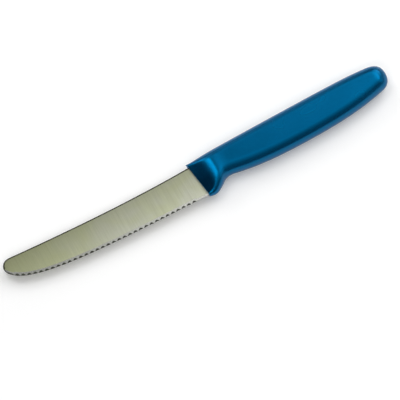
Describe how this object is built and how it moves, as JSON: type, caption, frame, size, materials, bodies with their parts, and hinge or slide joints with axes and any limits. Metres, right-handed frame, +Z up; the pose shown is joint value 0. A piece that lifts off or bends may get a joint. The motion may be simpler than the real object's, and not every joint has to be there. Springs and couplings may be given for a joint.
{
  "type": "round-tip serrated table knife",
  "caption": "Small kitchen knife with a round-tipped wavy-edged steel blade, whose flat tang is moulded into a smooth blue plastic handle with a finger recess.",
  "frame": {"origin": "middle of the knife's box in plan, on the surface that the handle lies on", "axes": "+X from the tip to the butt, +Y towards the spine, +Z up, out of the blade's ground side"},
  "size_m": [0.2232, 0.0242, 0.012],
  "materials": {
    "blade_steel": "satin ground across the blade, brighter at the edge",
    "handle_plastic": "satin moulded blue"
  },
  "bodies": {
    "root": {"blade": "blade_steel", "handle": "handle_plastic"}
  },
  "joints": []
}
